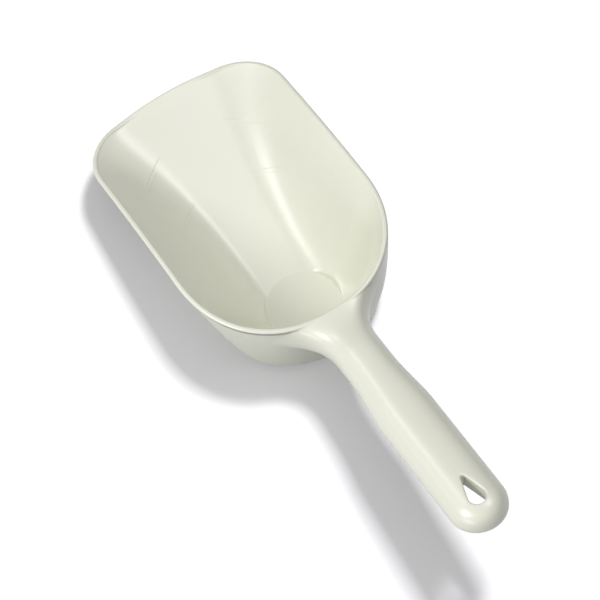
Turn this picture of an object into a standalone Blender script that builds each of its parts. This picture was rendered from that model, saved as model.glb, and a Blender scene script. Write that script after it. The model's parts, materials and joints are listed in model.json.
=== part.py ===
"""Measuring scoop for ice and dry goods, one injection moulding, modelled as its three regions.

bowl      open bowl with rim, pouring lip and the flat round base it stands on
handle    arched channel handle with its flared neck
hang_boss tube that lines the hang hole under the handle

Metres, +Z up, +X towards the lip. The base pad stands on z = 0.
"""
import math

import bmesh
import bpy

# ---- driving dimensions (metres) ------------------------------------------------------------
WALL = 0.0022             # moulded wall
GAP = 0.0003              # clearance between neighbouring regions

BOWL_LENGTH = 0.153       # back of the rim to the middle of the lip, in plan
HALF_WIDTH = 0.050        # outer half width of the rim
BACK_DEPTH = 0.053        # length of the rounded back in plan
BACK_POWER = 2.2          # super-ellipse power of the rounded back
LIP_BOW = 0.0024          # how far the lip bows forward
CORNER_R = 0.026          # front corner radius in plan
RIM_BACK_Z = 0.0485       # rim height at the back
RIM_DROP = 0.0252         # fall of the rim from the back to the lip
RIM_LAND = 0.0012         # upright land under the outer edge of the rim

PAD_X = 0.031             # middle of the flat base, forward of the back rim
PAD_R = 0.0177            # radius of the flat circle inside the bowl
FLOOR_BEND = 1.9          # curvature of the floor along the bowl, 1/m
FLOOR_SLOPE = 0.245       # slope of the straight front floor
FLOOR_CROWN = 3.0         # curvature of the floor across the bowl, 1/m
CORNER_RUN = 0.025        # width of the curved corner beside the floor
BACK_RUN = 0.0085         # the same behind the base circle
CORNER_POWER = 5.0        # fullness of that corner
DRAFT_CUT = 0.985         # stops the corner curve short of vertical, which leaves draft

HANDLE_LENGTH = 0.1235    # back of the rim to the end of the handle, in plan
HANDLE_RISE = math.radians(10.0)
NECK_HALF = 0.0102        # half width at the neck
GRIP_HALF = 0.0132        # half width of the grip and radius of its round end
NECK_END = 0.030          # where the neck starts to widen
GRIP_START = 0.066        # where the grip reaches full width
FLARE_LENGTH = 0.020      # length of the flare that meets the bowl
FLARE_WIDTH = 0.014       # extra half width of the flare at the bowl
HANDLE_DEPTH = 0.0112     # depth of the channel section
ARCH_POWER = 2.5          # roundness of the arched top

HOLE_R = 0.0039           # round end of the hang hole
HOLE_APEX = 0.0115        # point of the hang hole, ahead of the round end
BOSS_WALL = 0.0020

STATIONS = 96             # around the bowl
ROWS = 13                 # from the base circle to the rim

for old in list(bpy.data.objects):
    bpy.data.objects.remove(old, do_unlink=True)


# ---- small helpers --------------------------------------------------------------------------
def plastic(name):
    mat = bpy.data.materials.new(name)
    mat.use_nodes = True
    shader = mat.node_tree.nodes["Principled BSDF"]
    shader.inputs["Base Color"].default_value = (0.76, 0.77, 0.66, 1.0)
    shader.inputs["Roughness"].default_value = 0.32
    shader.inputs["IOR"].default_value = 1.49
    return mat


def make_object(name, verts, faces, smooth_angle=35.0):
    mesh = bpy.data.meshes.new(name)
    mesh.from_pydata(verts, [], faces)
    bm = bmesh.new()
    bm.from_mesh(mesh)
    bmesh.ops.remove_doubles(bm, verts=bm.verts, dist=0.00002)
    bmesh.ops.recalc_face_normals(bm, faces=bm.faces)
    bm.to_mesh(mesh)
    bm.free()
    obj = bpy.data.objects.new(name, mesh)
    bpy.context.scene.collection.objects.link(obj)
    mesh.materials.append(plastic(name + "_plastic"))
    mesh.polygons.foreach_set("use_smooth", [True] * len(mesh.polygons))
    mesh.set_sharp_from_angle(angle=math.radians(smooth_angle))
    return obj


def super_curve(t, power):
    """Rises from 0 to 1 as t goes from 0 to 1, flat at the start and steep at the end."""
    t = min(max(t, 0.0), 1.0)
    return 1.0 - (1.0 - t ** power) ** (1.0 / power)


# ---- bowl -----------------------------------------------------------------------------------
def half_width(x, inset):
    """Half width of the bowl ahead of its rounded back, moved inwards by inset."""
    half = HALF_WIDTH - inset
    corner_r = CORNER_R - inset
    corner_x = BOWL_LENGTH - inset - LIP_BOW - corner_r
    past = min(max(x - corner_x, 0.0), corner_r)
    return half - corner_r + math.sqrt(corner_r ** 2 - past ** 2)


def rim_height(x):
    """Height of the rim, which meets the floor at the lip."""
    side = RIM_BACK_Z - RIM_DROP * (x / BOWL_LENGTH) ** 2
    return max(side, WALL + floor_rise(x, 0.0))


def outline(inset, count):
    """Closed rim outline, evenly spaced, starting at the middle of the lip."""
    half = HALF_WIDTH - inset
    front = BOWL_LENGTH - inset
    corner_r = CORNER_R - inset
    corner_x = front - LIP_BOW - corner_r
    lip_half = half - corner_r
    dense = []
    for k in range(60):
        y = lip_half * k / 60.0
        dense.append((front - LIP_BOW * (y / lip_half) ** 2, y))
    for k in range(90):
        a = math.pi / 2 * k / 90.0
        dense.append((corner_x + corner_r * math.cos(a), lip_half + corner_r * math.sin(a)))
    for k in range(60):
        dense.append((corner_x + (BACK_DEPTH - corner_x) * k / 60.0, half))
    for k in range(241):
        a = math.pi / 2 * k / 240.0
        dense.append((BACK_DEPTH - (BACK_DEPTH - inset) * math.sin(a) ** (2 / BACK_POWER),
                      half * math.cos(a) ** (2 / BACK_POWER)))
    length = [0.0]
    for p, q in zip(dense, dense[1:]):
        length.append(length[-1] + math.dist(p, q))
    side = []
    j = 0
    for k in range(count // 2 + 1):
        want = length[-1] * k / (count // 2)
        while j < len(dense) - 2 and length[j + 1] < want:
            j += 1
        span = length[j + 1] - length[j]
        f = (want - length[j]) / span
        side.append((dense[j][0] + f * (dense[j + 1][0] - dense[j][0]),
                     dense[j][1] + f * (dense[j + 1][1] - dense[j][1])))
    return side + [(x, -y) for x, y in reversed(side[1:-1])]


def floor_rise(x, y):
    """Height of the gently dished floor above its lowest point."""
    ahead = x - PAD_X
    bend_end = FLOOR_SLOPE / (2.0 * FLOOR_BEND)
    if ahead < bend_end:
        along = FLOOR_BEND * ahead * ahead
    else:
        along = FLOOR_BEND * bend_end ** 2 + FLOOR_SLOPE * (ahead - bend_end)
    fade = min(max((BOWL_LENGTH - x) / 0.090, 0.0), 1.0)
    return along + FLOOR_CROWN * y * y * fade


def corner_position(x, y, inset):
    """0 where the corner leaves the floor, 1 at the rim outline."""
    half = HALF_WIDTH - inset
    if x < BACK_DEPTH:
        dx = abs(x - BACK_DEPTH)
        reach = math.hypot(dx, y)
        if reach < 1e-9:
            return 0.0
        back = BACK_DEPTH - inset
        rim = ((dx / back) ** BACK_POWER + (abs(y) / half) ** BACK_POWER) ** (1 / BACK_POWER)
        inner_back = back - BACK_RUN
        inner_half = half - CORNER_RUN
        flat = ((dx / inner_back) ** BACK_POWER
                + (abs(y) / inner_half) ** BACK_POWER) ** (1 / BACK_POWER)
        at_rim, at_flat = reach / rim, reach / flat
        return (reach - at_flat) / (at_rim - at_flat)
    wide = half_width(x, inset)
    forward = min(max((x - 0.085) / (BOWL_LENGTH - 0.085), 0.0), 1.0)
    share = (half - CORNER_RUN) / half
    flat = wide * (share + (0.93 - share) * forward ** 1.5)
    return (abs(y) - flat) / (wide - flat)


def surface_height(x, y, inset, pad_z, top):
    floor = pad_z + floor_rise(x, y)
    t = min(max(corner_position(x, y, inset), 0.0), 1.0)
    g = super_curve(DRAFT_CUT * t, CORNER_POWER) / super_curve(DRAFT_CUT, CORNER_POWER)
    return floor + max(top - floor, 0.0) * g


def bowl_skin(inset, pad_z, pad_r, land):
    """Rows of points from the base circle to the rim."""
    rim = outline(inset, STATIONS)
    rows = []
    for k in range(ROWS + 1):
        s = k / ROWS
        u = 1.0 - (1.0 - s) ** 2.0
        row = []
        for x, y in rim:
            a = math.atan2(y, x - PAD_X)
            cx, cy = PAD_X + pad_r * math.cos(a), pad_r * math.sin(a)
            px, py = cx + (x - cx) * u, cy + (y - cy) * u
            z = surface_height(px, py, inset, pad_z, rim_height(px) - land)
            z -= floor_rise(cx, cy) * (1.0 - u) ** 3
            if k == 0:
                z = pad_z
            row.append((px, py, z))
        rows.append(row)
    return rows


def shift(points):
    return [(x - CENTRE_X, y, z) for x, y, z in points]


CENTRE_X = (BOWL_LENGTH - HANDLE_LENGTH - GAP) / 2.0    # middle of the overall length

inner = bowl_skin(WALL, WALL, PAD_R, 0.0)
outer = bowl_skin(0.0, 0.0, PAD_R + 0.0008, RIM_LAND)
land_row = [(x, y, rim_height(x)) for x, y, z in outer[-1]]
loops = [[(PAD_X, 0.0, WALL)] * STATIONS] + inner + [land_row] + outer[::-1]
loops += [[(PAD_X, 0.0, 0.0)] * STATIONS]

verts, faces = [], []
for loop in loops:
    verts += shift(loop)
for r in range(len(loops) - 1):
    for i in range(STATIONS):
        j = (i + 1) % STATIONS
        a, b = r * STATIONS + i, r * STATIONS + j
        c, d = (r + 1) * STATIONS + j, (r + 1) * STATIONS + i
        if r == 0:
            faces.append((a, c, d))
        elif r == len(loops) - 2:
            faces.append((a, b, c))
        else:
            faces.append((a, b, c, d))
bowl = make_object("bowl", verts, faces)


# ---- handle ---------------------------------------------------------------------------------
def smooth_step(t):
    t = min(max(t, 0.0), 1.0)
    return t * t * (3.0 - 2.0 * t)


def grip_half(d):
    """Half width of the handle at distance d behind the bowl, before its round end."""
    w = NECK_HALF + (GRIP_HALF - NECK_HALF) * smooth_step((d - NECK_END) / (GRIP_START - NECK_END))
    near = max(1.0 - d / FLARE_LENGTH, 0.0)
    return w + FLARE_WIDTH * near ** 2.6


def wall_x(y):
    """Plan position of the outer back wall at y."""
    reach = min(abs(y) / HALF_WIDTH, 1.0)
    return BACK_DEPTH * (1.0 - (1.0 - reach ** BACK_POWER) ** (1.0 / BACK_POWER))


ROUND_D = HANDLE_LENGTH - GRIP_HALF       # middle of the round end
STARTS = [0.0, 0.002, 0.004, 0.0065, 0.0095, 0.013, 0.017, 0.022, 0.030, 0.038, 0.046,
          0.054, 0.062, 0.072, 0.084, 0.097]
END_STEPS = 16
ACROSS = 7


def handle_point(d, y, drop):
    near = max(1.0 - d / FLARE_LENGTH, 0.0) ** 1.5
    x = -GAP - d + wall_x(y) * near
    z = RIM_BACK_Z + d * math.tan(HANDLE_RISE) - drop
    return (x, y, z)


def handle_skin(inset):
    """Stations along the outline, each a row of points from the crest to the lower edge."""
    skin = []
    ends = [(d, grip_half(d) - inset) for d in STARTS] + [(ROUND_D, GRIP_HALF - inset)]
    stations = [(d, 0.0, d, w) for d, w in ends]
    for k in range(1, END_STEPS):
        a = math.pi * k / END_STEPS
        r = GRIP_HALF - inset
        stations.append((ROUND_D, 0.0, ROUND_D + r * math.sin(a), r * math.cos(a)))
    stations += [(d, 0.0, d, -w) for d, w in reversed(ends)]
    for d0, y0, d1, y1 in stations:
        row = []
        for k in range(ACROSS + 1):
            s = math.sin(math.pi / 2 * k / ACROSS)
            depth = HANDLE_DEPTH - inset
            drop = inset + depth * (1.0 - max(1.0 - s ** ARCH_POWER, 0.0) ** (1 / ARCH_POWER))
            row.append(handle_point(d0 + (d1 - d0) * s, y0 + (y1 - y0) * s, drop))
        skin.append(row)
    return skin


top = handle_skin(0.0)
under = handle_skin(WALL)
verts, faces = [], []
for row in top + under:
    verts += shift(row)
wide = ACROSS + 1
count = len(top)
for i in range(count - 1):
    for k in range(ACROSS):
        a = i * wide + k
        b = a + wide
        faces.append((a, a + 1, b + 1, b))
        m = count * wide
        faces.append((a + m, b + m, b + m + 1, a + m + 1))
    edge = i * wide + ACROSS
    faces.append((edge, edge + count * wide, edge + wide + count * wide, edge + wide))
for i in (0, count - 1):
    for k in range(ACROSS):
        a = i * wide + k
        faces.append((a, a + 1, a + 1 + count * wide, a + count * wide))
handle = make_object("handle", verts, faces)


# ---- hang hole ------------------------------------------------------------------------------
def teardrop(grow, steps=20):
    """Plan outline of the hang hole, its point towards the bowl."""
    r = HOLE_R + grow
    apex = HOLE_APEX + grow * 1.6
    tip_r = 0.0010 + grow * 0.6
    lean = math.acos((r - tip_r) / (apex - tip_r))
    points = []
    for k in range(steps + 1):
        a = lean + (2 * math.pi - 2 * lean) * k / steps
        points.append((r * math.cos(a), r * math.sin(a)))
    for k in range(7):
        a = -lean + 2 * lean * k / 6
        points.append((apex - tip_r + tip_r * math.cos(a), tip_r * math.sin(a)))
    return points


def prism(name, plan, low, high):
    """Upright prism round the middle of the hang hole; low and high are heights over it."""
    n = len(plan)
    base = [(x - CENTRE_X - GAP - ROUND_D, y) for x, y in plan]
    verts = [(x, y, low) for x, y in base] + [(x, y, high) for x, y in base]
    faces = [tuple(range(n)), tuple(range(n, 2 * n))]
    faces += [(i, (i + 1) % n, (i + 1) % n + n, i + n) for i in range(n)]
    return make_object(name, verts, faces, 30.0)


def cut(target, cutter):
    mod = target.modifiers.new("cut", "BOOLEAN")
    mod.operation = "DIFFERENCE"
    mod.solver = "EXACT"
    mod.object = cutter
    bpy.context.view_layer.objects.active = target
    bpy.ops.object.modifier_apply(modifier=mod.name)
    bpy.data.objects.remove(cutter, do_unlink=True)


crest_z = RIM_BACK_Z + ROUND_D * math.tan(HANDLE_RISE)
hole_cutter = prism("hole_cutter", teardrop(0.0), crest_z - 0.030, crest_z + 0.020)
cut(handle, hole_cutter)

outer_plan = teardrop(BOSS_WALL)
inner_plan = teardrop(0.0)
n = len(outer_plan)
tan_rise = math.tan(HANDLE_RISE)
verts, faces = [], []
for plan, drop in ((outer_plan, WALL + 0.0009), (inner_plan, WALL + 0.0009),
                   (inner_plan, HANDLE_DEPTH), (outer_plan, HANDLE_DEPTH)):
    for x, y in plan:
        verts.append((x - CENTRE_X - GAP - ROUND_D, y, crest_z - x * tan_rise - drop))
for r in range(4):
    for i in range(n):
        j = (i + 1) % n
        s = (r + 1) % 4
        faces.append((r * n + i, r * n + j, s * n + j, s * n + i))
hang_boss = make_object("hang_boss", verts, faces, 30.0)
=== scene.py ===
# %% [markdown]
# # A moulded measuring scoop
# The real object is one injection moulding in ivory polypropylene: an open bowl with a pouring
# lip, a flat round base to stand on, and an arched handle with a hang hole. It could be carved
# from one block of clay, but the surfaces of a moulding are drawn by rules, so each is made
# from a formula here, with enough points to look smooth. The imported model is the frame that
# everything is laid on. Lengths are in metres, +X towards the lip and +Z up.

# %% Load the frame
import json
import math

import bpy
from mathutils import Matrix, Vector

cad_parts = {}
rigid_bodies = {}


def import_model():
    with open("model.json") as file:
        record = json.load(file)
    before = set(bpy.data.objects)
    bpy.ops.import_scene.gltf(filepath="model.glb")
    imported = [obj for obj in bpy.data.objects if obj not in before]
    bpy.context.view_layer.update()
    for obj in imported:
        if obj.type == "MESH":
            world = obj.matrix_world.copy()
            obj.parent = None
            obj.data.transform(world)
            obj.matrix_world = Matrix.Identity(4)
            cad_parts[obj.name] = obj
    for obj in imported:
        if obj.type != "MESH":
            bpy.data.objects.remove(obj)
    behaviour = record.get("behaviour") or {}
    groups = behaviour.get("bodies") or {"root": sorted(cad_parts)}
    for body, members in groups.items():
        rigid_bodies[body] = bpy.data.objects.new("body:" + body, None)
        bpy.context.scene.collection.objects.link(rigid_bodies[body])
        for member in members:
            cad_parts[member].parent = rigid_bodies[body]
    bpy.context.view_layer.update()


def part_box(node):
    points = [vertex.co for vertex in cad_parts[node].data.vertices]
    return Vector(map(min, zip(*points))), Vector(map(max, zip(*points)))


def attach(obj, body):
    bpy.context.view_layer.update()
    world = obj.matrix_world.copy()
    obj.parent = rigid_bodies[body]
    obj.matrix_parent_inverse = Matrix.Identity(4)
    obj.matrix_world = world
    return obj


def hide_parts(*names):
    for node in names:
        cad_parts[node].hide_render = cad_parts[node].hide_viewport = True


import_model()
MM = 0.001
bowl_low, bowl_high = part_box("bowl")
handle_low, handle_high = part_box("handle")
print("bowl", [round(h - l, 4) for l, h in zip(bowl_low, bowl_high)], "m")
print("handle", [round(h - l, 4) for l, h in zip(handle_low, handle_high)], "m")

# %% [markdown]
# ## Where things are
# A scoop is easiest to draw from the back of its rim, because the bowl grows forward from
# there and the handle grows backward. All formulas measure x from that line, and one shift
# takes them to the frame. The numbers below are the driving sizes of the moulding.

# %% Driving sizes
BACK_RIM_X = bowl_low[0]
WALL = 2.2 * MM
BOWL_LENGTH = bowl_high[0] - bowl_low[0]
HALF_WIDTH = (bowl_high[1] - bowl_low[1]) / 2
RIM_BACK_Z = bowl_high[2]
RIM_DROP = 25.2 * MM         # how far the rim falls from its back to the lip
BACK_DEPTH = 53 * MM         # length of the rounded back of the rim
BACK_POWER = 2.2             # 2 is an ellipse, and more is fuller
LIP_TURN = 0.168             # how far the lip has turned where it meets the corner, radians
CORNER_R = 26 * MM
PAD_X = 31 * MM              # middle of the flat round base
PAD_R = 17.7 * MM
HANDLE_LENGTH = BACK_RIM_X - handle_low[0]
HANDLE_RISE = math.tan(math.radians(10))
HANDLE_DEPTH = 11.2 * MM     # from the crest down to the lower edge
GRIP_HALF = 13.2 * MM
NECK_HALF = 11.0 * MM
END_EXTRA = 1.5 * MM         # the end stands this far past the frame's handle
ROUND_D = HANDLE_LENGTH + END_EXTRA - GRIP_HALF


def to_frame(point):
    """From bowl measure, x from the back of the rim, to the frame."""
    return (point[0] + BACK_RIM_X, point[1], point[2])


print("bowl length", round(BOWL_LENGTH, 4), "handle length", round(HANDLE_LENGTH, 4))

# %% [markdown]
# ## The camera
# The scoop is seen from behind and above its handle, turned a little, with a long lens so that
# the near end doesn't swell. A camera can be aimed by a constraint or placed by three angles;
# angles are used because the view also leans to one side, which a constraint can't hold.

# %% Camera
CAMERA_TARGET = Vector((12.23 * MM, 3.39 * MM, 20.0 * MM))
CAMERA_AZIMUTH = math.radians(156.85)
CAMERA_ELEVATION = math.radians(63.62)
CAMERA_ROLL = math.radians(-10.04)
CAMERA_DISTANCE = 1.1558
CAMERA_LENS = 153.95
SENSOR_WIDTH = 36
FAR_CLIP = 20


def direction(azimuth, elevation):
    """Unit vector towards an azimuth from +X and an elevation."""
    flat = math.cos(elevation)
    return Vector((flat * math.cos(azimuth), flat * math.sin(azimuth), math.sin(elevation)))


def aim(obj, position, target, roll=0.0):
    """Stands obj at position with its -Z on the target."""
    back = (position - target).normalized()
    side = Vector((0, 0, 1)).cross(back).normalized()
    up = back.cross(side)
    right = math.cos(roll) * side + math.sin(roll) * up
    above = math.cos(roll) * up - math.sin(roll) * side
    turn = Matrix((right, above, back)).transposed().to_4x4()
    obj.matrix_world = Matrix.Translation(position) @ turn


camera = bpy.data.objects.new("camera", bpy.data.cameras.new("camera"))
bpy.context.scene.collection.objects.link(camera)
camera.data.lens = CAMERA_LENS
camera.data.sensor_width = SENSOR_WIDTH
camera.data.clip_end = FAR_CLIP
eye = CAMERA_TARGET + CAMERA_DISTANCE * direction(CAMERA_AZIMUTH, CAMERA_ELEVATION)
aim(camera, eye, CAMERA_TARGET, CAMERA_ROLL)
bpy.context.scene.camera = camera
print("camera at", [round(v, 3) for v in eye])

# %% [markdown]
# ## Colours and nodes
# Colours are picked as hex values, as a paint chart gives them, but light adds up in linear
# values, so one function turns the one into the other. One more adds a node with its settings
# and links, which keeps each material short enough to read.


# %% Colour and node helpers
def linear(hex_colour):
    """Linear red, green, blue and alpha of an sRGB hex colour."""
    values = []
    for k in (1, 3, 5):
        c = int(hex_colour[k:k + 2], 16) / 255
        values.append(c / 12.92 if c <= 0.04045 else ((c + 0.055) / 1.055) ** 2.4)
    return (*values, 1.0)


def add_node(tree, kind, settings=None, **links):
    """A node with its settings; a link is an input's name (_ for a space) and an output."""
    node = tree.nodes.new(kind)
    for key, value in (settings or {}).items():
        if hasattr(node, key):
            setattr(node, key, value)
        else:
            node.inputs[key].default_value = value
    for key, output in links.items():
        tree.links.new(output, node.inputs[key.replace("_", " ")])
    return node


print("middle grey in linear light", round(linear("#777777")[0], 3))

# %% [markdown]
# ## Ivory polypropylene
# The scoop is injection moulded polypropylene, tinted ivory. The steel mould is polished and
# then lightly blasted, so the plastic comes out with a smooth skin and a soft gloss: bright
# wide highlights, no mirror. Three small things stop it looking like paint: the pigment is not
# perfectly even, the gloss varies where the mould is worn, and a very fine grain breaks up the
# highlight. They could be painted as images, but here all come from noise in object space,
# which needs no unwrapping and stays put when the scoop moves.

# %% Moulded plastic
FLOW_MM = 38.0            # slow drift of pigment along the flow of the melt
WORN_MM = 9.0             # patches where the mould is more polished
GRAIN_MM = 0.45           # blasted grain; the real one is nearer 0.1 mm, too fine to show
GRAIN_STRENGTH = 0.25
LIGHT_IVORY, DEEP_IVORY = "#E6E7D9", "#E2E3D3"
POLISHED, WORN = 0.29, 0.33   # roughness where the mould is polished and where it is worn
SKIN_SHINE = 0.85         # matched to the look; 0.5 is what the IOR gives by itself
POLYPROPYLENE_IOR = 1.49


def moulded_polypropylene(name, light_hex, deep_hex, grain_height):
    """Smooth tinted plastic with drifting pigment, uneven gloss and a fine grain."""
    mat = bpy.data.materials.new(name)
    mat.use_nodes = True
    tree = mat.node_tree
    shader = tree.nodes["Principled BSDF"]
    place = add_node(tree, "ShaderNodeTexCoord").outputs["Object"]
    flow = add_node(tree, "ShaderNodeTexNoise",
                    {"Scale": 1 / (FLOW_MM * MM), "Detail": 3.0}, Vector=place)
    tint = add_node(tree, "ShaderNodeMix", {"data_type": "RGBA"})
    tint.inputs[6].default_value = linear(deep_hex)
    tint.inputs[7].default_value = linear(light_hex)
    tree.links.new(flow.outputs["Fac"], tint.inputs["Factor"])
    tree.links.new(tint.outputs[2], shader.inputs["Base Color"])
    worn = add_node(tree, "ShaderNodeTexNoise",
                    {"Scale": 1 / (WORN_MM * MM), "Detail": 4.0}, Vector=place)
    gloss = add_node(tree, "ShaderNodeMapRange",
                     {"To Min": POLISHED, "To Max": WORN}, Value=worn.outputs["Fac"])
    tree.links.new(gloss.outputs["Result"], shader.inputs["Roughness"])
    grain = add_node(tree, "ShaderNodeTexNoise",
                     {"Scale": 1 / (GRAIN_MM * MM), "Detail": 2.0}, Vector=place)
    bump = add_node(tree, "ShaderNodeBump",
                    {"Strength": GRAIN_STRENGTH, "Distance": grain_height},
                    Height=grain.outputs["Fac"])
    tree.links.new(bump.outputs["Normal"], shader.inputs["Normal"])
    shader.inputs["IOR"].default_value = POLYPROPYLENE_IOR
    shader.inputs["Specular IOR Level"].default_value = SKIN_SHINE
    shader.inputs["Metallic"].default_value = 0.0
    return mat


ivory = moulded_polypropylene("ivory_moulded_polypropylene", LIGHT_IVORY, DEEP_IVORY, 0.01 * MM)
print("made", ivory.name)

# %% [markdown]
# ## The outline of the rim
# Seen from above the rim is a rounded back, two straight sides, two round corners and a lip
# that bows slightly forward. The back is a super-ellipse: a little fuller than an ellipse. One
# curve with evenly spaced points gives rows of even faces, so highlights stay clean.

# %% Rim outline
STATIONS = 240               # points round the rim
LIP_STEPS, CORNER_STEPS, SIDE_STEPS, BACK_STEPS = 60, 90, 60, 240


def spread(points, count):
    """count + 1 evenly spaced points along a polyline."""
    length = [0.0]
    for p, q in zip(points, points[1:]):
        length.append(length[-1] + math.dist(p, q))
    even, j = [], 0
    for k in range(count + 1):
        want = length[-1] * k / count
        while j < len(points) - 2 and length[j + 1] < want:
            j += 1
        f = (want - length[j]) / (length[j + 1] - length[j])
        even.append(tuple(a + f * (b - a) for a, b in zip(points[j], points[j + 1])))
    return even


def rim_outline(inset):
    """Closed outline moved inwards by inset, from the middle of the lip round by +Y."""
    half = HALF_WIDTH - inset
    front = BOWL_LENGTH - inset
    corner_r = CORNER_R - inset
    lip_half = half - corner_r + corner_r * math.sin(LIP_TURN)
    bow = lip_half * math.tan(LIP_TURN) / 2
    corner_x = front - bow - corner_r * math.cos(LIP_TURN)
    line = [(front - bow * (k / LIP_STEPS) ** 2, lip_half * k / LIP_STEPS)
            for k in range(LIP_STEPS)]
    for k in range(CORNER_STEPS):
        a = LIP_TURN + (math.pi / 2 - LIP_TURN) * k / CORNER_STEPS
        line.append((corner_x + corner_r * math.cos(a), half - corner_r + corner_r * math.sin(a)))
    line += [(corner_x + (BACK_DEPTH - corner_x) * k / SIDE_STEPS, half)
             for k in range(SIDE_STEPS)]
    for k in range(BACK_STEPS + 1):
        a = math.pi / 2 * k / BACK_STEPS
        line.append((BACK_DEPTH - (BACK_DEPTH - inset) * math.sin(a) ** (2 / BACK_POWER),
                     half * math.cos(a) ** (2 / BACK_POWER)))
    side = spread(line, STATIONS // 2)
    return side + [(x, -y) for x, y in reversed(side[1:-1])]


print("rim points", len(rim_outline(0.0)))

# %% [markdown]
# ## The hollow of the bowl
# A scoop is pushed into ice and then stands on its base, so its floor is nearly flat along the
# middle and rises to the lip. On each side a trough turns it up into a flat leaning wall. The
# troughs start beside the flat base and spread towards the lip. Behind the base the wall stands
# steep. One height rule along rays from the middle of the base draws all of it: the floor
# first, then an arc, then the wall. Sculpting could do it too, but a rule gives both skins
# alike.

# %% Bowl height rule
FLOOR_BEND = 1.9             # how quickly the floor turns up in front of the base
FLOOR_SLOPE = 0.245
FLOOR_CROWN = 0.8            # a slight hollow across the floor
CROWN_FADE = 90 * MM         # the hollow is gone at the lip
LIP_START_X = 100 * MM
LIP_FLAT = 12 * MM           # half width of the lip that is plain floor
LIP_BLEND = 24 * MM          # the rim rises from the lip over this width
TROUGH_X = 50 * MM           # from here on the troughs spread
NEAREST_START, NEAREST_END = 10.5 * MM, 24 * MM
START_SPREAD, END_SPREAD = 8.5 * MM, 17 * MM
START_OFFSET = 5 * MM
START_SPAN, END_SPAN = 80 * MM, 85 * MM
ARC_LEAST = 7 * MM           # an arc is never tighter than this
START_MOST, END_MOST = 0.86, 0.96
BACK_WALL_POWER = 5.0        # tight corner into a steep wall
BACK_RUN = 8.5 * MM          # width of the steep wall at the back
SIDE_RUN = 25 * MM
DRAFT_CUT = 0.985            # the top of the wall keeps a little draft
SIDE_FROM, SIDE_OVER = 0.5, 0.9   # cosines over which a ray turns from back to side
HALVINGS = 26                # enough to find a point on a ray exactly


def smooth_step(t):
    """From 0 to 1, flat at both ends."""
    t = min(max(t, 0.0), 1.0)
    return t * t * (3 - 2 * t)


def super_curve(t, power):
    """From 0 to 1, flat at the start and steep at the end."""
    t = min(max(t, 0.0), 1.0)
    return 1 - (1 - t ** power) ** (1 / power)


def floor_rise(x, y):
    """Height of the floor over the base."""
    ahead = x - PAD_X
    bend_end = FLOOR_SLOPE / (2 * FLOOR_BEND)
    if ahead < bend_end:
        along = FLOOR_BEND * ahead * ahead
    else:
        along = FLOOR_BEND * bend_end ** 2 + FLOOR_SLOPE * (ahead - bend_end)
    fade = min(max((BOWL_LENGTH - x) / CROWN_FADE, 0.0), 1.0)
    return along + FLOOR_CROWN * y * y * fade


def rim_side(x):
    """Height of the rim along the sides."""
    return RIM_BACK_Z - RIM_DROP * (x / BOWL_LENGTH) ** 2


def lip_fade(x, y):
    """0 where the rim is the lip, 1 where it is the top of a wall."""
    return smooth_step((abs(y) - LIP_FLAT) / LIP_BLEND) if x > LIP_START_X else 1.0


def rim_height(x, y):
    floor = WALL + floor_rise(x, y)
    return floor + max(rim_side(x) - floor, 0.0) * lip_fade(x, y)


def trough_start(x):
    """Half width of the flat floor, where the arc of the trough starts."""
    ahead = max((x - TROUGH_X - START_OFFSET) / START_SPAN, 0.0)
    return NEAREST_START + START_SPREAD * ahead ** 2


def trough_end(x):
    """Half width where the arc ends and the leaning wall starts."""
    return NEAREST_END + END_SPREAD * max((x - TROUGH_X) / END_SPAN, 0.0) ** 1.5


def bowl_half(x, inset):
    """Half width of the rim outline at x."""
    half, corner_r = HALF_WIDTH - inset, CORNER_R - inset
    if x < BACK_DEPTH:
        back = min((BACK_DEPTH - x) / (BACK_DEPTH - inset), 1.0)
        return half * (1 - back ** BACK_POWER) ** (1 / BACK_POWER)
    lip_half = half - corner_r + corner_r * math.sin(LIP_TURN)
    bow = lip_half * math.tan(LIP_TURN) / 2
    corner_x = BOWL_LENGTH - inset - bow - corner_r * math.cos(LIP_TURN)
    past = min(max(x - corner_x, 0.0), corner_r)
    return half - corner_r + math.sqrt(corner_r ** 2 - past ** 2)


def side_rise(x, y, inset):
    """Floor, arc and leaning wall across the bowl: 0 on the floor, 1 at the rim."""
    wide = bowl_half(x, inset)
    start = min(trough_start(x), START_MOST * wide)
    end = min(max(trough_end(x), start + ARC_LEAST), END_MOST * wide)
    y = abs(y)
    if y < start:
        return 0.0
    lean = (y - start) ** 2 / (2 * (end - start)) if y < end else y - (start + end) / 2
    return min(lean / (wide - (start + end) / 2), 1.0)


def ray_profile(angle, rim_reach, inset):
    """Where the steep back wall starts along a ray, and how much the ray is a side ray."""
    c, s = math.cos(angle), abs(math.sin(angle))

    def on_flat(r):
        ahead = max(BACK_DEPTH - PAD_X - r * c, 0.0) / (BACK_DEPTH - inset - BACK_RUN)
        wide = r * s / (HALF_WIDTH - inset - SIDE_RUN)
        return ahead ** BACK_POWER + wide ** BACK_POWER < 1

    low, high = 0.0, rim_reach
    for _ in range(HALVINGS):
        mid = (low + high) / 2
        low, high = (mid, high) if on_flat(mid) else (low, mid)
    return low, smooth_step((c + SIDE_FROM) / SIDE_OVER)


def back_rise(reach, rim_reach, flat):
    """Share of the back wall's height reached along a ray."""
    t = (reach - flat) / (rim_reach - flat)
    return super_curve(DRAFT_CUT * t, BACK_WALL_POWER) / super_curve(DRAFT_CUT, BACK_WALL_POWER)


print("trough near the lip from", round(trough_start(0.1), 4), "to", round(trough_end(0.1), 4))

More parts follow.
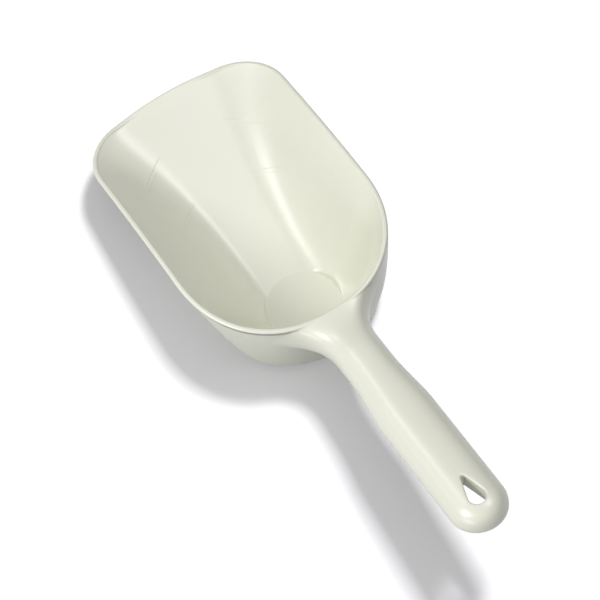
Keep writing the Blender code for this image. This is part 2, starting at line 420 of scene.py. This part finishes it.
# %% Bowl skins
ROWS = 56
ROW_CROWDING = 1.5           # rows lie closer together near the rim
STEP_ROWS = 4
STEP_WIDTH = 0.7 * MM        # the small step round the base
BASE_R_OUT = PAD_R + 0.8 * MM
PAD_RINGS = (0.35, 0.7, 0.97)
RIM_EDGE_IN = 0.5 * MM       # rounding of the rim's inner edge
RIM_EDGE_OUT = 1.1 * MM      # and of its outer edge


def ray_heights(x, y, base_z, base_r, inset, below):
    """Function of distance along the ray to a rim point, giving the height of the skin."""
    angle = math.atan2(y, x - PAD_X)
    rim_reach = math.hypot(x - PAD_X, y)
    flat, side_share = ray_profile(angle, rim_reach, inset)
    c, s = math.cos(angle), math.sin(angle)
    lip_share = lip_fade(x, y)

    def surface(reach):
        px, py = PAD_X + reach * c, reach * s
        rise = (1 - side_share) * back_rise(reach, rim_reach, flat)
        if side_share > 0:
            rise += side_share * side_rise(px, py, inset)
        if reach > rim_reach - 1e-7:
            rise = 1.0
        rim = floor_rise(px, py) + WALL
        rim += max(rim_side(px) - rim, 0.0) * lip_share
        wall = max(rim - base_z - floor_rise(px, py), 0.0)
        wall -= below * min(wall / MM, 1.0)
        return px, py, base_z + floor_rise(px, py) + wall * rise

    foot = floor_rise(PAD_X + base_r * c, base_r * s)

    def height(reach):
        """The base is a flat disc, let into the troughs by a small step."""
        px, py, z = surface(reach)
        u = (reach - base_r) / (rim_reach - base_r)
        z -= foot * max(1 - u, 0.0) ** 3
        step = smooth_step((reach - base_r) / STEP_WIDTH)
        return px, py, base_z + (z - base_z) * step

    return height, rim_reach


def bowl_rows(inset, base_z, base_r, below):
    """Rows of points from the base circle to just under the rim."""
    rows = [[] for _ in range(STEP_ROWS + ROWS + 1)]
    for x, y in rim_outline(inset):
        height, rim_reach = ray_heights(x, y, base_z, base_r, inset, below)
        for k in range(STEP_ROWS):
            rows[k].append(height(base_r + STEP_WIDTH * k / STEP_ROWS))
        first = base_r + STEP_WIDTH
        for k in range(ROWS + 1):
            u = 1 - (1 - k / ROWS) ** ROW_CROWDING
            rows[STEP_ROWS + k].append(height(first + (rim_reach - first) * u))
    return rows


def rim_rows():
    """The rounded top of the rim, from its inner edge to its outer edge."""
    steps = [(WALL - RIM_EDGE_IN * (1 - math.cos(a)), RIM_EDGE_IN * (1 - math.sin(a)), True)
             for a in (math.pi / 8 * k for k in range(1, 5))]
    steps += [(RIM_EDGE_OUT * (1 - math.sin(a)), RIM_EDGE_OUT * (1 - math.cos(a)), False)
              for a in (math.pi / 12 * k for k in range(7))]
    rows = []
    for inset, drop, inner_edge in steps:
        row = []
        for x, y in rim_outline(inset):
            top = rim_height(x, y)
            wall = min((top - WALL - floor_rise(x, y)) / MM, 1.0)
            row.append((x, y, top - drop * (wall if inner_edge else 1.0)))
        rows.append(row)
    return rows


def grid_faces(rows, count, closed=True, start=0):
    """Four-sided faces between rows of count points."""
    faces = []
    for r in range(rows - 1):
        for i in range(count if closed else count - 1):
            j = (i + 1) % count
            a, b = start + r * count, start + (r + 1) * count
            faces.append((a + i, a + j, b + j, b + i))
    return faces


def smooth_object(name, points, faces, material):
    """A mesh object in the frame with smooth shading."""
    mesh = bpy.data.meshes.new(name)
    mesh.from_pydata([to_frame(p) for p in points], [], faces)
    mesh.validate()
    mesh.materials.append(material)
    mesh.polygons.foreach_set("use_smooth", [True] * len(mesh.polygons))
    obj = bpy.data.objects.new(name, mesh)
    bpy.context.scene.collection.objects.link(obj)
    return obj


inner = bowl_rows(WALL, WALL, PAD_R, RIM_EDGE_IN)
outer = bowl_rows(0.0, 0.0, BASE_R_OUT, RIM_EDGE_OUT)
loops = [[(PAD_X + (x - PAD_X) * f, y * f, WALL) for x, y, z in inner[0]]
         for f in PAD_RINGS]
loops += inner + rim_rows() + outer[::-1]
loops += [[(PAD_X + (x - PAD_X) * f, y * f, 0.0) for x, y, z in outer[0]]
          for f in reversed(PAD_RINGS)]
points = [p for loop in loops for p in loop]
faces = grid_faces(len(loops), STATIONS)
last = len(loops) - 1
for r, z in ((0, WALL), (last, 0.0)):
    points.append((PAD_X, 0.0, z))
    for i in range(STATIONS):
        j = (i + 1) % STATIONS
        edge = (r * STATIONS + i, r * STATIONS + j)
        faces.append((len(points) - 1, *(edge if r == 0 else edge[::-1]))[::-1])
bowl_skin = smooth_object("bowl_skin", points, faces, ivory)
print("bowl_skin", len(points), "points")

# %% [markdown]
# ## The handle
# The handle is an arched channel, open underneath, which is how a moulding gets a thick, stiff
# grip from a thin wall. Its root flares into the back of the bowl as one soft saddle: the
# crest leaves the top of the rim and each side leaves the wall at a tangent, so no joint shows.
# A boolean union would leave a hard line there. Instead, the handle is one row of sections,
# and the first ones widen towards the bowl along a quarter turn, as a fillet does.

# %% Handle sections
ACROSS = 16                  # points from the crest to the lower edge, on each side
ARCH_POWER = 2.5             # 2 is an ellipse, and more is squarer
NECK_END = 30 * MM           # distances along the handle from the back of the rim
GRIP_START = 60 * MM
ROOT_END = 21 * MM


def grip_half(d):
    """Half width of the handle at distance d from the rim."""
    t = (d - NECK_END) / (GRIP_START - NECK_END)
    return NECK_HALF + (GRIP_HALF - NECK_HALF) * smooth_step(t)


def arch_drop(s, depth=HANDLE_DEPTH, power=ARCH_POWER):
    """How far the arch has dropped below its crest; s runs from -1 to 1 across it."""
    return depth * (1 - max(1 - abs(s) ** power, 0.0) ** (1 / power))


def crest_height(d):
    return RIM_BACK_Z + d * HANDLE_RISE


SPACING = [math.sin(math.pi / 2 * k / ACROSS) for k in range(-ACROSS, ACROSS + 1)]


def section(d):
    return [Vector((-d, grip_half(d) * s, crest_height(d) - arch_drop(s))) for s in SPACING]


# %% Root of the handle
ROOT_HALF = 28 * MM          # half width of the flare on the bowl
ROOT_DROP = 14.5 * MM        # depth of the skirt on the bowl
ROOT_POWER = 3.4             # the root is squarer than the grip and keeps close to the rim
ROOT_ROWS = 30
FLARE_SHARP = 1.35           # above 1 the flare hugs the bowl more closely
SUNK = 0.15 * MM             # the first points lie just inside the bowl's skin


def wall_x(y):
    """Where the rounded back of the rim lies at y."""
    reach = min(abs(y) / HALF_WIDTH, 1.0)
    return BACK_DEPTH * (1 - (1 - reach ** BACK_POWER) ** (1 / BACK_POWER))


def rim_inset(drop):
    """How far the rounded edge of the rim lies inside the wall's face."""
    lean = math.acos(max(1 - drop / RIM_EDGE_OUT, 0.0))
    return RIM_EDGE_OUT * (1 - math.sin(lean)) + SUNK


def root_rows():
    """Sections that narrow from the flare to the neck along a fillet."""
    rows = []
    for r in range(ROOT_ROWS):
        turn = math.pi / 2 * r / ROOT_ROWS
        d = ROOT_END * (1 - math.cos(turn))
        settled = smooth_step(d / ROOT_END)
        half = grip_half(d) + (ROOT_HALF - grip_half(0)) * (1 - math.sin(turn)) ** FLARE_SHARP
        depth = ROOT_DROP + (HANDLE_DEPTH - ROOT_DROP) * settled
        power = ROOT_POWER + (ARCH_POWER - ROOT_POWER) * settled
        crest = RIM_BACK_Z + d * HANDLE_RISE * settled
        row = []
        for s in SPACING:
            drop = arch_drop(s, depth, power)
            start = (wall_x(half * s) + rim_inset(drop)) * (1 - d / ROOT_END) ** 2
            row.append(Vector((start - d, half * s, crest - drop)))
        rows.append(row)
    return rows


CUT_D = 86 * MM              # the end of the grip is drawn another way from here on
GRIP_ROWS = 16
steps = [ROOT_END + (CUT_D - ROOT_END) * k / GRIP_ROWS for k in range(GRIP_ROWS + 1)]
handle_rows = root_rows() + [section(d) for d in steps]
print("rows along the handle", len(handle_rows))

# %% [markdown]
# ## The end of the grip and its hang hole
# The end is round, and a teardrop hole with its point towards the bowl lets the scoop hang from
# a hook. Cutting the hole with a boolean would break up the even faces and show in the gloss.
# So the end is drawn as rings that grow from the hole to the edge: the hole's own edge is
# rounded, and its wall goes straight down as a short tube.

# %% End of the grip
HOLE_R = 3.9 * MM            # round end of the hole
HOLE_APEX = 11.5 * MM        # from the middle of that round to the point
HOLE_TIP_R = 1.0 * MM
HOLE_EDGE = 0.8 * MM         # rounding of the hole's top edge
HOLE_MIDDLE = 2.5 * MM       # the rays start this far from the middle of the round
ROUND_STEPS, TIP_STEPS = 60, 14
STRAIGHT_STEPS, END_STEPS = 10, 40
TUBE_RINGS, EDGE_RINGS, END_RINGS = 5, 5, 18


def teardrop():
    """Outline of the hole about the middle of its round end, point towards +X."""
    lean = math.acos((HOLE_R - HOLE_TIP_R) / (HOLE_APEX - HOLE_TIP_R))
    line = []
    for k in range(ROUND_STEPS + 1):
        a = lean + (2 * math.pi - 2 * lean) * k / ROUND_STEPS
        line.append((HOLE_R * math.cos(a), HOLE_R * math.sin(a)))
    for k in range(TIP_STEPS + 1):
        a = -lean + 2 * lean * k / TIP_STEPS
        line.append((HOLE_APEX - HOLE_TIP_R + HOLE_TIP_R * math.cos(a),
                     HOLE_TIP_R * math.sin(a)))
    return line


def ray_reach(line, centre_x, angle):
    """Distance from (centre_x, 0) to a closed outline along an angle."""
    c, s = math.cos(angle), math.sin(angle)
    best = 0.0
    for (x0, y0), (x1, y1) in zip(line, line[1:] + line[:1]):
        ax, bx = x0 - centre_x, x1 - centre_x
        side0, side1 = ax * s - y0 * c, bx * s - y1 * c
        if (side0 > 0) != (side1 > 0):
            f = side0 / (side0 - side1)
            reach = (ax + f * (bx - ax)) * c + (y0 + f * (y1 - y0)) * s
            best = max(best, reach)
    return best


def grip_height(x, y):
    """Height of the grip's top over a plan point, x from the back of the rim."""
    d = -x
    if d < ROUND_D:
        s = abs(y) / grip_half(d)
    else:
        s = math.hypot(d - ROUND_D, y) / GRIP_HALF
    return crest_height(d) - arch_drop(min(s, 1.0))


def edge_loop():
    """Outer ends of the rays: the cut across the grip, then round the end."""
    loop = [(p.x, p.y) for p in section(CUT_D)]
    straight = [CUT_D + (ROUND_D - CUT_D) * k / STRAIGHT_STEPS for k in range(1, STRAIGHT_STEPS)]
    loop += [(-d, grip_half(d)) for d in straight]
    for k in range(END_STEPS + 1):
        a = math.pi / 2 - math.pi * k / END_STEPS
        loop.append((-ROUND_D - GRIP_HALF * math.cos(a), GRIP_HALF * math.sin(a)))
    return loop + [(-d, -grip_half(d)) for d in reversed(straight)]


hole_line = teardrop()
end_loops = [[] for _ in range(TUBE_RINGS + EDGE_RINGS + END_RINGS)]
cx = -ROUND_D + HOLE_MIDDLE
for x, y in edge_loop():
    angle = math.atan2(y, x - cx)
    hole = ray_reach(hole_line, HOLE_MIDDLE, angle)
    full = math.hypot(x - cx, y)
    lip = hole + HOLE_EDGE
    c, s = math.cos(angle), math.sin(angle)
    top = grip_height(cx + lip * c, lip * s)
    low = crest_height(-(cx + hole * c)) - HANDLE_DEPTH
    for k in range(TUBE_RINGS):
        z = low + (top - HOLE_EDGE - low) * k / TUBE_RINGS
        end_loops[k].append(Vector((cx + hole * c, hole * s, z)))
    for k in range(EDGE_RINGS):
        a = math.pi / 2 * k / EDGE_RINGS
        reach = hole + HOLE_EDGE * (1 - math.cos(a))
        z = top - HOLE_EDGE * (1 - math.sin(a))
        end_loops[TUBE_RINGS + k].append(Vector((cx + reach * c, reach * s, z)))
    for k in range(END_RINGS):
        reach = lip + (full - lip) * math.sin(math.pi / 2 * k / (END_RINGS - 1))
        px, py = cx + reach * c, reach * s
        z = grip_height(px, py) if k < END_RINGS - 1 else grip_height(x, y)
        end_loops[TUBE_RINGS + EDGE_RINGS + k].append(Vector((px, py, z)))
print("points round the hole", len(end_loops[0]))

# %% Handle skin
HANDLE_WALL = WALL - 0.4 * MM
EDGE_ROUND = 0.6 * MM
EDGE_ANGLE = math.radians(60)
WELD_GAP = 0.01 * MM
wide = 2 * ACROSS + 1
points = [p for row in handle_rows for p in row]
faces = grid_faces(len(handle_rows), wide, closed=False)
start = len(points)
ring = len(end_loops[0])
points += [p for loop in end_loops for p in loop]
faces += [f[::-1] for f in grid_faces(len(end_loops), ring, start=start)]
handle_skin = smooth_object("handle_skin", points, faces, ivory)


def modifier(obj, kind, **settings):
    mod = obj.modifiers.new(kind.lower(), kind)
    for key, value in settings.items():
        setattr(mod, key, value)
    return mod


modifier(handle_skin, "WELD", merge_threshold=WELD_GAP)
modifier(handle_skin, "SOLIDIFY", thickness=HANDLE_WALL, offset=-1.0, use_even_offset=False)
modifier(handle_skin, "BEVEL", width=EDGE_ROUND, segments=3, limit_method="ANGLE",
         angle_limit=EDGE_ANGLE)
print("handle_skin", len(points), "points")

# %% [markdown]
# ## Measuring lines
# Thin raised lines in the troughs, in two pairs, are there to measure by. On the mould they
# are shallow engraved grooves, so they stand only a little proud. They could be a bump in
# the material, but then they would vanish in the model's mesh, so each is a narrow strip laid
# on the skin.

# %% Measuring lines
LINES = (                    # middle of each line, how it curves back, where it runs, how wide
    (133 * MM, 16.5, 17.5 * MM, 32 * MM, 0.8 * MM),
    (130.5 * MM, 16.5, 23 * MM, 33 * MM, 0.5 * MM),
    (105 * MM, 18.0, 16 * MM, 28 * MM, 0.8 * MM),
    (102.5 * MM, 18.0, 20 * MM, 28 * MM, 0.5 * MM),
)
LINE_HEIGHT = 0.16 * MM
LINE_SINK = 0.04 * MM        # the edges of a line go just into the skin
LINE_STEPS = 25
LINE_ENDS = 6                # a high power keeps the line even and fades only its ends
LINE_SHAPE = ((-0.5, 0), (-0.3, 0.8), (0, 1), (0.3, 0.8), (0.5, 0))   # across, and lift
inner_outline = rim_outline(WALL)


def hollow_height(x, y):
    """Height of the hollow at any plan point outside the base."""
    angle = math.atan2(y, x - PAD_X)
    rim_reach = ray_reach(inner_outline, PAD_X, angle)
    rim_x, rim_y = PAD_X + rim_reach * math.cos(angle), rim_reach * math.sin(angle)
    height, _ = ray_heights(rim_x, rim_y, WALL, PAD_R, WALL, RIM_EDGE_IN)
    return height(math.hypot(x - PAD_X, y))[2]


for number, (middle, bend, near, far, wide) in enumerate(LINES, 1):
    points, faces = [], []
    for side in (-1, 1):
        start = len(points)
        for k in range(LINE_STEPS):
            t = k / (LINE_STEPS - 1)
            y = side * (near + (far - near) * t)
            proud = LINE_HEIGHT * (1 - abs(2 * t - 1) ** LINE_ENDS)
            for across, lift in LINE_SHAPE:
                x = middle - bend * y * y + across * wide
                z = hollow_height(x, y) + lift * proud - LINE_SINK * (lift == 0)
                points.append((x, y, z))
        faces += grid_faces(LINE_STEPS, len(LINE_SHAPE), closed=False, start=start)
    line = smooth_object(f"measuring_line_{number}", points, faces, ivory)
    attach(line, "root")
print("measuring lines", len(LINES))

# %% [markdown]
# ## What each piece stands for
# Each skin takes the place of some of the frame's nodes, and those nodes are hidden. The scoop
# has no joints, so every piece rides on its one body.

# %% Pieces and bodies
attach(bowl_skin, "root")
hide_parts("bowl")
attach(handle_skin, "root")
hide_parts("handle", "hang_boss")
print("two skins ride on root")

# %% [markdown]
# ## Floor and light
# A plain pale floor and soft studio light. One softbox on each side of the bowl draws a line
# of gloss down its trough: a low one a bright line, a high one a fainter line. A small one in
# front draws the line along the handle, and one near the table lights the outside of the wall.
# The sky fills in. A single sun would be simpler, but its highlights would be points. Blender
# can link a light to some objects only, so the floor gets its own two: one that throws the
# soft shadow, and an even one that the scoop does not block, to set how dark the shadow is. A
# real studio has no such light: it is a way to match a look, and so is a floor that throws no
# light back on the scoop.

# %% Floor
FLOOR_HALF = 3.0
FLOOR_GAP = 0.2 * MM         # just under the base, so that the two never flicker
floor_mesh = bpy.data.meshes.new("floor")
corners = [(-FLOOR_HALF, -FLOOR_HALF, 0), (FLOOR_HALF, -FLOOR_HALF, 0),
           (FLOOR_HALF, FLOOR_HALF, 0), (-FLOOR_HALF, FLOOR_HALF, 0)]
floor_mesh.from_pydata(corners, [], [(0, 1, 2, 3)])
floor = bpy.data.objects.new("floor", floor_mesh)
bpy.context.scene.collection.objects.link(floor)
floor.location.z = -FLOOR_GAP
paper = bpy.data.materials.new("white_paper_sweep")
paper.use_nodes = True
paper_shader = paper.node_tree.nodes["Principled BSDF"]
paper_shader.inputs["Base Color"].default_value = linear("#E7E7E9")
paper_shader.inputs["Roughness"].default_value = 0.9
paper_shader.inputs["Specular IOR Level"].default_value = 0.1
floor_mesh.materials.append(paper)
floor.visible_diffuse = False   # the white floor does not light the scoop from below
print("floor", 2 * FLOOR_HALF, "m wide")

# %% Lights
LIGHT_DISTANCE = 1.4
LIGHT_AIM = Vector((30 * MM, 0, 20 * MM))


def soft_light(name, azimuth, elevation, wide, long, power, lights):
    """A rectangular soft light; lights names what it shines on."""
    data = bpy.data.lights.new(name, "AREA")
    data.shape = "RECTANGLE"
    data.size, data.size_y, data.energy = wide, long, power
    lamp = bpy.data.objects.new(name, data)
    bpy.context.scene.collection.objects.link(lamp)
    towards = direction(math.radians(azimuth), math.radians(elevation))
    aim(lamp, LIGHT_AIM + LIGHT_DISTANCE * towards, LIGHT_AIM)
    lamp.light_linking.receiver_collection = lights
    return lamp


def group(name, *objects):
    """A collection that only says which objects a light reaches."""
    collection = bpy.data.collections.new(name)
    for obj in objects:
        collection.objects.link(obj)
    return collection


scoop_group = group("scoop_pieces", bowl_skin, handle_skin,
                    *[o for o in bpy.data.objects if o.name.startswith("measuring_line")])
floor_group = group("floor_only", floor)
soft_light("left_softbox", 86, 42, 0.68, 0.50, 9.6, scoop_group)
soft_light("right_softbox", -82, 68, 0.62, 0.36, 4.4, scoop_group)
soft_light("front_softbox", 28, 50, 0.20, 0.20, 1.2, scoop_group)
soft_light("low_softbox", 118, 9, 1.00, 0.30, 4.6, scoop_group)
soft_light("shadow_softbox", -82, 71, 0.22, 0.22, 15.0, floor_group)
floor_fill = soft_light("floor_fill", 0, 89, 1.00, 1.00, 7.1, floor_group)
floor_fill.light_linking.blocker_collection = floor_group

# %% Studio sky
SKY_DARK, SKY_BRIGHT = 0.11, 0.57
SKY_TOWARDS = direction(math.radians(150), math.radians(70))   # the brightest part
SKY_EDGE = 0.1               # the dark part starts where this cosine is reached
world = bpy.data.worlds.new("studio")
bpy.context.scene.world = world
world.use_nodes = True
sky = world.node_tree
brightest = add_node(sky, "ShaderNodeVectorMath", {"operation": "DOT_PRODUCT"})
brightest.inputs[1].default_value = SKY_TOWARDS
sky.links.new(add_node(sky, "ShaderNodeTexCoord").outputs["Generated"], brightest.inputs[0])
glow = add_node(sky, "ShaderNodeMapRange",
                {"From Min": SKY_EDGE, "To Min": SKY_DARK, "To Max": SKY_BRIGHT},
                Value=brightest.outputs["Value"])
sky.links.new(glow.outputs["Result"], sky.nodes["Background"].inputs["Strength"])
sky.nodes["Background"].inputs["Color"].default_value = (1, 1, 1, 1)
bpy.context.scene.view_settings.view_transform = "Standard"
print("sky from", SKY_DARK, "to", SKY_BRIGHT)
